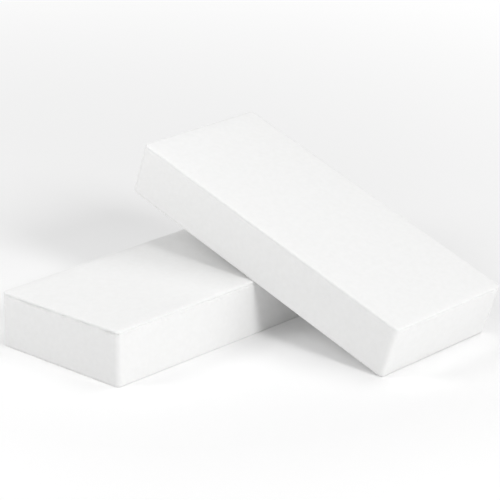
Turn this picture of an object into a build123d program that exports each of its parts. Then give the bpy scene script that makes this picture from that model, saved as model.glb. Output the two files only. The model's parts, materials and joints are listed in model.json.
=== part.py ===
from build123d import *
import os
from math import asin, atan2, cos, degrees, hypot, radians, sin

# A pair of floral foam bricks, in millimetres. One lies flat. The other leans across it: the
# middle of its base bears on the long top rim of the flat one, and its foot stands on the table.
# Frame: the origin is the middle of the lower brick's base, +X runs along its length, and +Z is
# up. The leaning brick lies near the +X end and comes down on the -Y side.

# One brick. Both are the same.
LENGTH = 220.0
WIDTH = 101.6
HEIGHT = 36.0
CORNER_R = 3.0  # the four upright edges
RIM_R = 1.5  # the edges round the top
BASE_R = 0.8  # the edges round the base

# How the second brick leans on the first.
MIDDLE_TO_RIM = 0.0  # from the middle of its base, down the slope, to the line that it bears on
END_MARGIN = 1.5  # what shows of the lower brick past its side, at the +X end
SKEW = 0.5  # degrees that it lies off square to the lower brick
CLEARANCE = 0.2  # between its base and the lower brick's rim, so that it can rock there

# It rocks about the axis of the rim's rounding, which runs along X.
RIM_AXIS_Y = RIM_R - WIDTH / 2
RIM_AXIS_Z = HEIGHT - RIM_R


def foam_brick():
    """One brick, with the middle of its base at the origin and its length along X."""
    brick = Box(LENGTH, WIDTH, HEIGHT, align=(Align.CENTER, Align.CENTER, Align.MIN))
    brick = fillet(brick.edges().filter_by(Axis.Z), CORNER_R)
    brick = fillet(brick.faces().sort_by(Axis.Z)[-1].edges(), RIM_R)
    return fillet(brick.faces().sort_by(Axis.Z)[0].edges(), BASE_R)


def lean_angle():
    """How far the leaning brick tips, in degrees, before its foot meets the table.

    Its foot edge is rounded too. Seen along X, the axis of that rounding lies `along` the slope
    and `across` it from the rim's axis, and it ends up `drop` below the rim's axis.
    """
    skew = radians(SKEW)
    to_corner_axis = (LENGTH / 2 - CORNER_R) * cos(skew) + (WIDTH / 2 - CORNER_R) * abs(sin(skew))
    along = to_corner_axis + CORNER_R - BASE_R - MIDDLE_TO_RIM
    across = RIM_R + CLEARANCE + BASE_R
    drop = RIM_AXIS_Z - BASE_R
    return degrees(asin(drop / hypot(along, across)) + atan2(across, along))


def lower_brick():
    """The brick that lies flat."""
    return foam_brick()


def leaning_brick():
    """The brick laid flat across the lower one, then tipped over its rim."""
    middle_x = LENGTH / 2 - END_MARGIN - WIDTH / 2
    middle_y = RIM_AXIS_Y + MIDDLE_TO_RIM
    laid_across = Pos(middle_x, middle_y, HEIGHT + CLEARANCE) * Rot(0, 0, SKEW - 90) * foam_brick()
    return laid_across.rotate(Axis((0, RIM_AXIS_Y, RIM_AXIS_Z), (1, 0, 0)), lean_angle())


os.makedirs("parts", exist_ok=True)
for name, piece in {"lower_brick": lower_brick(), "leaning_brick": leaning_brick()}.items():
    export_step(piece, f"parts/{name}.step")
print(f"hinge axis at y {RIM_AXIS_Y:.3f} mm, z {RIM_AXIS_Z:.3f} mm; lean {lean_angle():.4f} degrees")
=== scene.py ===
# %% [markdown]
# # Two bricks of white floral foam
#
# A florist pushes cut stems into a brick of rigid foam, which holds them where they are put. Here
# one brick lies flat and a second one leans across it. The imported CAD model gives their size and
# place, and the hinge that they rock on. This lesson gives them their looks: the softly rolled
# top, the ragged line where the skin ends, the small pits under it, and the fine-celled finish.

# %% Load the frame
import json
from math import cos, degrees, pi, radians, sin

import bmesh
import bpy
from mathutils import Matrix, Vector, noise


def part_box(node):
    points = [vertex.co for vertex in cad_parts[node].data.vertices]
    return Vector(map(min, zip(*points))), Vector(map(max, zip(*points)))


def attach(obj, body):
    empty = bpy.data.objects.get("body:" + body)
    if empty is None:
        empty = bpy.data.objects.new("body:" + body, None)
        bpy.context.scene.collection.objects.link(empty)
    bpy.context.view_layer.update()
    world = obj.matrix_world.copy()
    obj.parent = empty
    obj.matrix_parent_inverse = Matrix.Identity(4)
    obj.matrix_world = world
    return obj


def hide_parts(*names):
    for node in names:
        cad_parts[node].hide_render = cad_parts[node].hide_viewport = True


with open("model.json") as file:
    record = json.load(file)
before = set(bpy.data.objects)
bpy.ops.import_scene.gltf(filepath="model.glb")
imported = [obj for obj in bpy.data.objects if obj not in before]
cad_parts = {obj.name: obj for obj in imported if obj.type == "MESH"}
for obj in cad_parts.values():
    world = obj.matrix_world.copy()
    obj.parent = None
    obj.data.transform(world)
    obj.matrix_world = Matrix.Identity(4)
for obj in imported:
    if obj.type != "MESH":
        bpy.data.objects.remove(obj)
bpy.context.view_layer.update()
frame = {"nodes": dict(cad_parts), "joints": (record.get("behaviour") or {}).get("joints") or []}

# %% [markdown]
# ## The brick's sizes
#
# Every size comes from the frame. The lower brick lies square to the axes, so its box is the
# brick. Smaller sizes, such as how far the top rolls over, are a maker's choice and are named here
# in millimetres.

# %% Sizes
MM = 0.001
low_corner, high_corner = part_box("lower_brick")
LENGTH, WIDTH, HEIGHT = high_corner - low_corner

CORNER_R = 3.0 * MM  # the upright edges
LIP_R = 1.0 * MM  # the tight turn where the top meets a side
BASE_R = 0.8 * MM  # the edges that it stands on
ROLL_IN = 8.0 * MM  # how far in from the side the top starts to roll over
ROLL_DROP = 0.4 * MM  # how far it has dropped by the tight turn

print(f"brick {LENGTH / MM:.1f} x {WIDTH / MM:.1f} x {HEIGHT / MM:.1f} mm")

# %% [markdown]
# ## Where the leaning brick lies
#
# Both bricks are easiest to shape lying flat and square to the axes, so each is made like that and
# put in its place at the end. The hinge says how. Turned to the far end of its range, the leaning
# brick lies flat across the lower one. Turning its CAD node there shows where its middle is, and
# turning back gives the slope that it rests at.

# %% Find the leaning brick's place
SKEW = radians(0.5)  # it lies this much off square

hinge = frame["joints"][0]
LEAN = radians(hinge["range_deg"][1])
hinge_at = Matrix.Translation(Vector(hinge["pos_m"]))
hinge_axis = Vector(hinge["axis"])


def tipped(angle):
    """The turn about the hinge that the joint makes at this angle."""
    return hinge_at @ Matrix.Rotation(angle, 4, hinge_axis) @ hinge_at.inverted()


laid_flat = [tipped(LEAN) @ vertex.co for vertex in frame["nodes"]["leaning_brick"].data.vertices]
low = Vector(min(point[axis] for point in laid_flat) for axis in range(3))
high = Vector(max(point[axis] for point in laid_flat) for axis in range(3))
middle = Vector(((low.x + high.x) / 2, (low.y + high.y) / 2, low.z))

laid_across = Matrix.Translation(middle) @ Matrix.Rotation(SKEW - pi / 2, 4, "Z")
PLACES = {"lower_brick": Matrix.Identity(4), "leaning_brick": tipped(-LEAN) @ laid_across}
print(f"the leaning brick rests at {degrees(LEAN):.2f} degrees, over x = {middle.x / MM:.1f} mm")

# %% [markdown]
# ## A sawn block
#
# A brick is cut from a larger bun of foam. A cube, scaled and bevelled, gives the plain block. The
# three bevels come in the order of their size, so that each smaller one runs round the corners
# that the larger one has made.

# %% Block
CORNER_STEPS = 6
LIP_STEPS = 4
BASE_STEPS = 2
SAME_HEIGHT = 0.01 * MM  # two points closer than this are level
SIDE_TILT = 0.5  # a face whose normal rises less than this is a side


def round_off(block, edges, radius, steps):
    bmesh.ops.bevel(
        block, geom=edges, offset=radius, offset_type="OFFSET", affect="EDGES",
        segments=steps, profile=0.5, material=-1,
    )


def rise(edge):
    """How far an edge climbs from one end to the other."""
    return abs(edge.verts[0].co.z - edge.verts[1].co.z)


def level_edges(block, height):
    """The edges that lie at one height and belong to an upright side."""
    return [
        edge for edge in block.edges
        if all(abs(vertex.co.z - height) < SAME_HEIGHT for vertex in edge.verts)
        and any(abs(face.normal.z) < SIDE_TILT for face in edge.link_faces)
    ]


def sawn_block():
    """A plain rounded block, with the middle of its base at the origin."""
    block = bmesh.new()
    bmesh.ops.create_cube(block, size=1.0)
    bmesh.ops.scale(block, vec=(LENGTH, WIDTH, HEIGHT), verts=block.verts)
    bmesh.ops.translate(block, vec=(0, 0, HEIGHT / 2), verts=block.verts)
    upright = [edge for edge in block.edges if rise(edge) > HEIGHT / 2]
    round_off(block, upright, CORNER_R, CORNER_STEPS)
    round_off(block, level_edges(block, HEIGHT), LIP_R, LIP_STEPS)
    round_off(block, level_edges(block, 0), BASE_R, BASE_STEPS)
    return block


plain = sawn_block()
print("plain block:", len(plain.faces), "faces")
plain.free()

# %% [markdown]
# ## Enough points to sculpt
#
# The crumbled line is under a millimetre deep, so the mesh needs rows a third of a millimetre
# apart there and can be much coarser lower down. The side is first cut through below that band.
# Then all the long edges that run one way are divided together, which makes a regular net.

# %% Net
X, Y, Z = range(3)
FINE_BAND = 5.0 * MM  # below the top
FINE_ROW = 0.36 * MM
PLAIN_ROW = 1.6 * MM
COLUMN = 1.0 * MM
STRAIGHT = 0.98  # an edge with this share of its length along an axis runs along it


def divide(block, axis, spacing, shortest):
    """Cuts every long edge that runs along one axis into equal lengths."""
    by_pieces = {}
    for edge in block.edges:
        run = edge.verts[1].co - edge.verts[0].co
        if abs(run[axis]) > shortest and abs(run[axis]) > STRAIGHT * run.length:
            by_pieces.setdefault(round(run.length / spacing), []).append(edge)
    for pieces, edges in by_pieces.items():
        bmesh.ops.subdivide_edges(block, edges=edges, cuts=pieces - 1, use_grid_fill=True)


def fine_net(block):
    """Divides a block all over, most finely in the band under its top."""
    band_foot = HEIGHT - FINE_BAND
    everything = block.verts[:] + block.edges[:] + block.faces[:]
    bmesh.ops.bisect_plane(block, geom=everything, plane_co=(0, 0, band_foot), plane_no=(0, 0, 1))
    in_band = [
        edge for edge in block.edges
        if rise(edge) > FINE_BAND / 2
        and min(vertex.co.z for vertex in edge.verts) > band_foot - SAME_HEIGHT
    ]
    rows = round((FINE_BAND - LIP_R) / FINE_ROW)
    bmesh.ops.subdivide_edges(block, edges=in_band, cuts=rows - 1, use_grid_fill=True)
    divide(block, Z, PLAIN_ROW, HEIGHT / 4)
    divide(block, X, COLUMN, WIDTH / 4)
    divide(block, Y, COLUMN, WIDTH / 4)
    return block


trial = fine_net(sawn_block())
print(f"net: {len(trial.verts)} points, {len(trial.faces)} faces,",
      f"{sum(len(face.verts) - 2 for face in trial.faces)} triangles")
trial.free()

# %% [markdown]
# ## Noise to sculpt by
#
# Foam breaks unevenly, and no two stretches of an edge are alike. Smooth noise that doesn't repeat
# gives that, and it gives the same shape on every run. A ramp turns it into dashes and pits with
# soft ends.

# %% Noise and ramp
def wander(point, size, seed):
    """Smooth noise from -1 to 1 whose bumps are about this many millimetres across."""
    return noise.noise(point / (size * MM) + Vector((seed * 17.3, seed * 5.1, seed * 9.7)))


def ramp(value, start, end):
    """0 before start, 1 past end, and smooth between."""
    t = min(max((value - start) / (end - start), 0.0), 1.0)
    return t * t * (3 - 2 * t)


print("a ramp from 0 to 1:", [round(ramp(step / 4, 0, 1), 2) for step in range(5)])

# %% [markdown]
# ## The crumbled line
#
# The bun's skin is a little tougher than the foam under it. Where the saw has gone through both,
# the skin is left as a thin bright lip, and the foam just below it has crumbled away in dashes,
# with small pits further down. A bump in the material would leave the outline smooth, so the
# points themselves are moved. Each one only ever sinks, which keeps the foam inside its CAD size.

# %% Crumbled line
LINE_DEPTH = 1.8  # mm below the top, where the skin ends
SWELL, SWELL_RISE = 6.0, 0.5  # the line's long waves: how far apart and how high, in mm
RIPPLE, RIPPLE_RISE = 2.2, 0.35  # the short ones on top of them
DASH = 7.0  # mm, about how long a dash of the line is
FAINT, STRONG = 0.25, 1.1  # the line's depth between dashes, and what a dash adds to it
FADE, FADE_CHANGE = 1.5, 0.8  # mm below the line where the groove has faded out, give or take
PIT = 1.6  # mm across
PIT_DEPTH = 0.7  # beside the line's depth of 1


def crumbled(place, wear, seed):
    """How many millimetres the side sinks in at a point."""
    along = Vector((place.x, place.y, 0))
    line = (LINE_DEPTH + SWELL_RISE * wander(along, SWELL, seed)
            + RIPPLE_RISE * wander(along, RIPPLE, seed + 1))
    below = (HEIGHT - place.z) / MM - line
    dashes = FAINT + STRONG * ramp(wander(along, DASH, seed + 2), -0.3, 0.3)
    faded_at = FADE + FADE_CHANGE * wander(along, 4.0, seed + 3)
    # the groove starts sharply at the line and fades out below it
    groove = ramp(below, -0.4, 0.0) * (1 - ramp(below, 0.2, faded_at))
    # the pits lie from just under the line to a few millimetres lower
    near_line = ramp(below, 0.3, 0.8) * (1 - ramp(below, 1.5, 4.5))
    pits = ramp(wander(place, PIT, seed + 4), 0.3, 0.55) * near_line
    return wear * (dashes * groove + PIT_DEPTH * pits)


steps = range(round(LENGTH / MM))
row = [Vector((step * MM - LENGTH / 2, -WIDTH / 2, HEIGHT - LINE_DEPTH * MM)) for step in steps]
depths = [crumbled(point, 1.0, 1) for point in row]
print(f"at the line, full wear sinks the side {min(depths):.2f} to {max(depths):.2f} mm")

# %% [markdown]
# ## Sculpting
#
# One pass over the points does all of it. The top rolls over towards its edges, as a sawn and
# handled top does, and the sides sink in by the crumbled line and by a slow unevenness that a saw
# leaves.

# %% Sculpt
SHRINK = 0.06 * MM  # the sides lie this far inside the CAD faces
WAVE = 0.1 * MM  # and wander in by up to this much more
WAVE_SIZE = 18.0  # mm across


def outward(place):
    """The side that a point belongs to, and the way that this side faces."""
    if LENGTH / 2 - abs(place.x) < WIDTH / 2 - abs(place.y):
        return ("+x", Vector((1, 0, 0))) if place.x > 0 else ("-x", Vector((-1, 0, 0)))
    return ("+y", Vector((0, 1, 0))) if place.y > 0 else ("-y", Vector((0, -1, 0)))


def sculpt(block, wear, seed):
    """Rolls the top over, and sinks the sides and the crumbled line under the lip."""
    for vertex in block.verts:
        place = vertex.co.copy()
        nearest = min(LENGTH / 2 - abs(place.x), WIDTH / 2 - abs(place.y))
        over = max(ROLL_IN - max(nearest, LIP_R), 0) / (ROLL_IN - LIP_R)
        height_share = ramp(place.z, HEIGHT - FINE_BAND, HEIGHT - LIP_R)
        vertex.co.z -= ROLL_DROP * over * over * height_share
        if nearest < 1.5 * LIP_R:
            side, out = outward(place)
            wave = WAVE * (0.5 + 0.5 * wander(place, WAVE_SIZE, seed + 5))
            vertex.co -= out * (SHRINK + wave + crumbled(place, wear[side], seed) * MM)


print(f"sides lie {SHRINK / MM:.2f} to {(SHRINK + WAVE) / MM:.2f} mm inside the CAD faces")

# %% [markdown]
# ## The foam's finish
#
# Up close the foam is a mass of cells under half a millimetre wide, dull and nearly pure white,
# and a little darker in soft patches where the cells lie more open. Modelling the cells would take
# millions of faces, so a fine noise bumps the surface, and a coarser one picks between two close
# whites. Both read Object coordinates, so the pattern has one scale on every side of a brick.

# %% Foam material
OPEN_WHITE = (0.872, 0.872, 0.867, 1)
CLOSED_WHITE = (0.896, 0.896, 0.892, 1)
PATCHES_PER_METRE = 320
CELLS_PER_METRE = 1800
CELL_DEPTH = 0.2 * MM


def noise_texture(material, scale, detail):
    """Noise on Object coordinates, with so many bumps to the metre."""
    nodes, links = material.node_tree.nodes, material.node_tree.links
    texture = nodes.new("ShaderNodeTexNoise")
    texture.inputs["Scale"].default_value = scale
    texture.inputs["Detail"].default_value = detail
    place = nodes.new("ShaderNodeTexCoord")
    links.new(place.outputs["Object"], texture.inputs["Vector"])
    return texture


def foam_material():
    material = bpy.data.materials.new("white_foam")
    material.use_nodes = True
    nodes, links = material.node_tree.nodes, material.node_tree.links
    shader = nodes["Principled BSDF"]
    shader.inputs["Roughness"].default_value = 0.95
    shader.inputs["Specular IOR Level"].default_value = 0.2

    patches = noise_texture(material, PATCHES_PER_METRE, detail=4)
    whites = nodes.new("ShaderNodeValToRGB")
    open_end, closed_end = whites.color_ramp.elements
    open_end.position, open_end.color = 0.3, OPEN_WHITE
    closed_end.position, closed_end.color = 0.7, CLOSED_WHITE
    links.new(patches.outputs["Fac"], whites.inputs["Fac"])
    links.new(whites.outputs["Color"], shader.inputs["Base Color"])

    cells = noise_texture(material, CELLS_PER_METRE, detail=3)
    bump = nodes.new("ShaderNodeBump")
    bump.inputs["Strength"].default_value = 0.25
    bump.inputs["Distance"].default_value = CELL_DEPTH
    links.new(cells.outputs["Fac"], bump.inputs["Height"])
    links.new(bump.outputs["Normal"], shader.inputs["Normal"])
    return material


foam = foam_material()
print("foam material:", len(foam.node_tree.nodes), "nodes")

# %% [markdown]
# ## The two bricks
#
# Ends are sawn across and handled more, so they are more worn than the long sides. The wear is
# given side by side, as the brick lies flat and before it is put in its place. Each finished brick
# stands for its plain CAD solid and rides on the same body, so it rocks with the hinge.

# %% Bricks
WEAR = {
    "lower_brick": {"-x": 0.7, "+x": 0.5, "-y": 0.4, "+y": 0.4},
    "leaning_brick": {"-x": 0.4, "+x": 0.5, "-y": 0.22, "+y": 0.3},
}


def foam_brick(node, seed):
    """Saws, sculpts and finishes one brick, and puts it where its CAD node lies."""
    block = fine_net(sawn_block())
    sculpt(block, WEAR[node], seed)
    mesh = bpy.data.meshes.new(node + "_foam")
    block.to_mesh(mesh)
    block.free()
    mesh.transform(PLACES[node])
    mesh.materials.append(foam)
    mesh.shade_smooth()
    brick = bpy.data.objects.new(node + "_foam", mesh)
    bpy.context.collection.objects.link(brick)
    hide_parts(node)
    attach(brick, node)
    return brick


for seed, node in enumerate(("lower_brick", "leaning_brick"), start=1):
    brick = foam_brick(node, seed)
    print(brick.name, "faces", len(brick.data.polygons))

# %% [markdown]
# ## The floor
#
# White foam is shown on a plain white table that fades into a white background. A lamp near the
# bricks can't light a floor that runs to the horizon, so the floor glows by itself, faintly by the
# bricks and more with distance. Near the bricks it is left to the lamps, so that soft shadows show.

# %% Floor
FLOOR_HALF = 6  # metres
GLOW_FROM, GLOW_TO = 0.2, 1.3  # metres from the bricks
FAINT_GLOW, FULL_GLOW = 0.05, 0.6


def floor_material():
    material = bpy.data.materials.new("floor")
    material.use_nodes = True
    nodes, links = material.node_tree.nodes, material.node_tree.links
    shader = nodes["Principled BSDF"]
    shader.inputs["Base Color"].default_value = (0.92, 0.92, 0.92, 1)
    shader.inputs["Roughness"].default_value = 1
    shader.inputs["Specular IOR Level"].default_value = 0
    shader.inputs["Emission Color"].default_value = (1, 1, 1, 1)
    place = nodes.new("ShaderNodeTexCoord")
    distance = nodes.new("ShaderNodeVectorMath")
    distance.operation = "LENGTH"
    glow = nodes.new("ShaderNodeMapRange")
    glow.inputs["From Min"].default_value = GLOW_FROM
    glow.inputs["From Max"].default_value = GLOW_TO
    glow.inputs["To Min"].default_value = FAINT_GLOW
    glow.inputs["To Max"].default_value = FULL_GLOW
    links.new(place.outputs["Object"], distance.inputs[0])
    links.new(distance.outputs["Value"], glow.inputs["Value"])
    links.new(glow.outputs["Result"], shader.inputs["Emission Strength"])
    return material


floor_mesh = bmesh.new()
bmesh.ops.create_grid(floor_mesh, x_segments=1, y_segments=1, size=FLOOR_HALF)
floor_data = bpy.data.meshes.new("floor")
floor_mesh.to_mesh(floor_data)
floor_mesh.free()
floor_data.materials.append(floor_material())
floor = bpy.data.objects.new("floor", floor_data)
bpy.context.collection.objects.link(floor)
print("floor:", 2 * FLOOR_HALF, "m square")

# %% [markdown]
# ## Light
#
# White on white shows its shape only by how bright each side is. Even light from all round keeps
# the shadows pale. A small lamp in front makes the one clear shadow, under the leaning brick. A
# broad one high on the +X side lifts the tops, and a weak one close to the raised end makes the
# leaning side fade along its length.

# %% Light
BRICKS = (0.02, -0.03, 0.04)
RAISED_END = (0.05, 0.05, 0.08)

world = bpy.data.worlds.new("studio")
bpy.context.scene.world = world
world.use_nodes = True
world.node_tree.nodes["Background"].inputs["Color"].default_value = (1, 1, 1, 1)
world.node_tree.nodes["Background"].inputs["Strength"].default_value = 0.43


def soft_light(name, azimuth, elevation, watts, size=1.0, distance=1.6, aim=BRICKS):
    """A round lamp aimed at the bricks. Azimuth 0 is the -Y side, and 90 is the -X side."""
    turn, climb = radians(azimuth), radians(elevation)
    towards = Vector((-sin(turn) * cos(climb), -cos(turn) * cos(climb), sin(climb)))
    lamp = bpy.data.lights.new(name, "AREA")
    lamp.shape = "DISK"
    lamp.size = size
    lamp.energy = watts
    light = bpy.data.objects.new(name, lamp)
    light.location = Vector(aim) + distance * towards
    light.rotation_euler = (-towards).to_track_quat("-Z", "Y").to_euler()
    bpy.context.collection.objects.link(light)
    print(name, f"{watts} W")


soft_light("front_light", 8, 32, 9.6, size=0.5)
soft_light("side_light", -60, 62, 5.1)
soft_light("head_light", 110, 40, 1.1, size=0.3, distance=0.6, aim=RAISED_END)

# %% [markdown]
# ## Camera
#
# A long lens from a metre and a half away keeps the bricks' long edges nearly parallel. The camera
# looks down at them over a corner of the lower brick, so that two sides and the top of each show.

# %% Camera
CAMERA_PLACE = (-1.0216, -0.9983, 0.5514)
CAMERA_TURN = (70.506, 0.0, -47.276)  # degrees
LENS = 173.5  # mm, on a sensor 36 mm wide

camera = bpy.data.objects.new("camera", bpy.data.cameras.new("camera"))
bpy.context.collection.objects.link(camera)
camera.location = CAMERA_PLACE
camera.rotation_euler = [radians(angle) for angle in CAMERA_TURN]
camera.data.sensor_width = 36
camera.data.lens = LENS
bpy.context.scene.camera = camera
bpy.context.scene.view_settings.view_transform = "Standard"
print("camera at", CAMERA_PLACE)
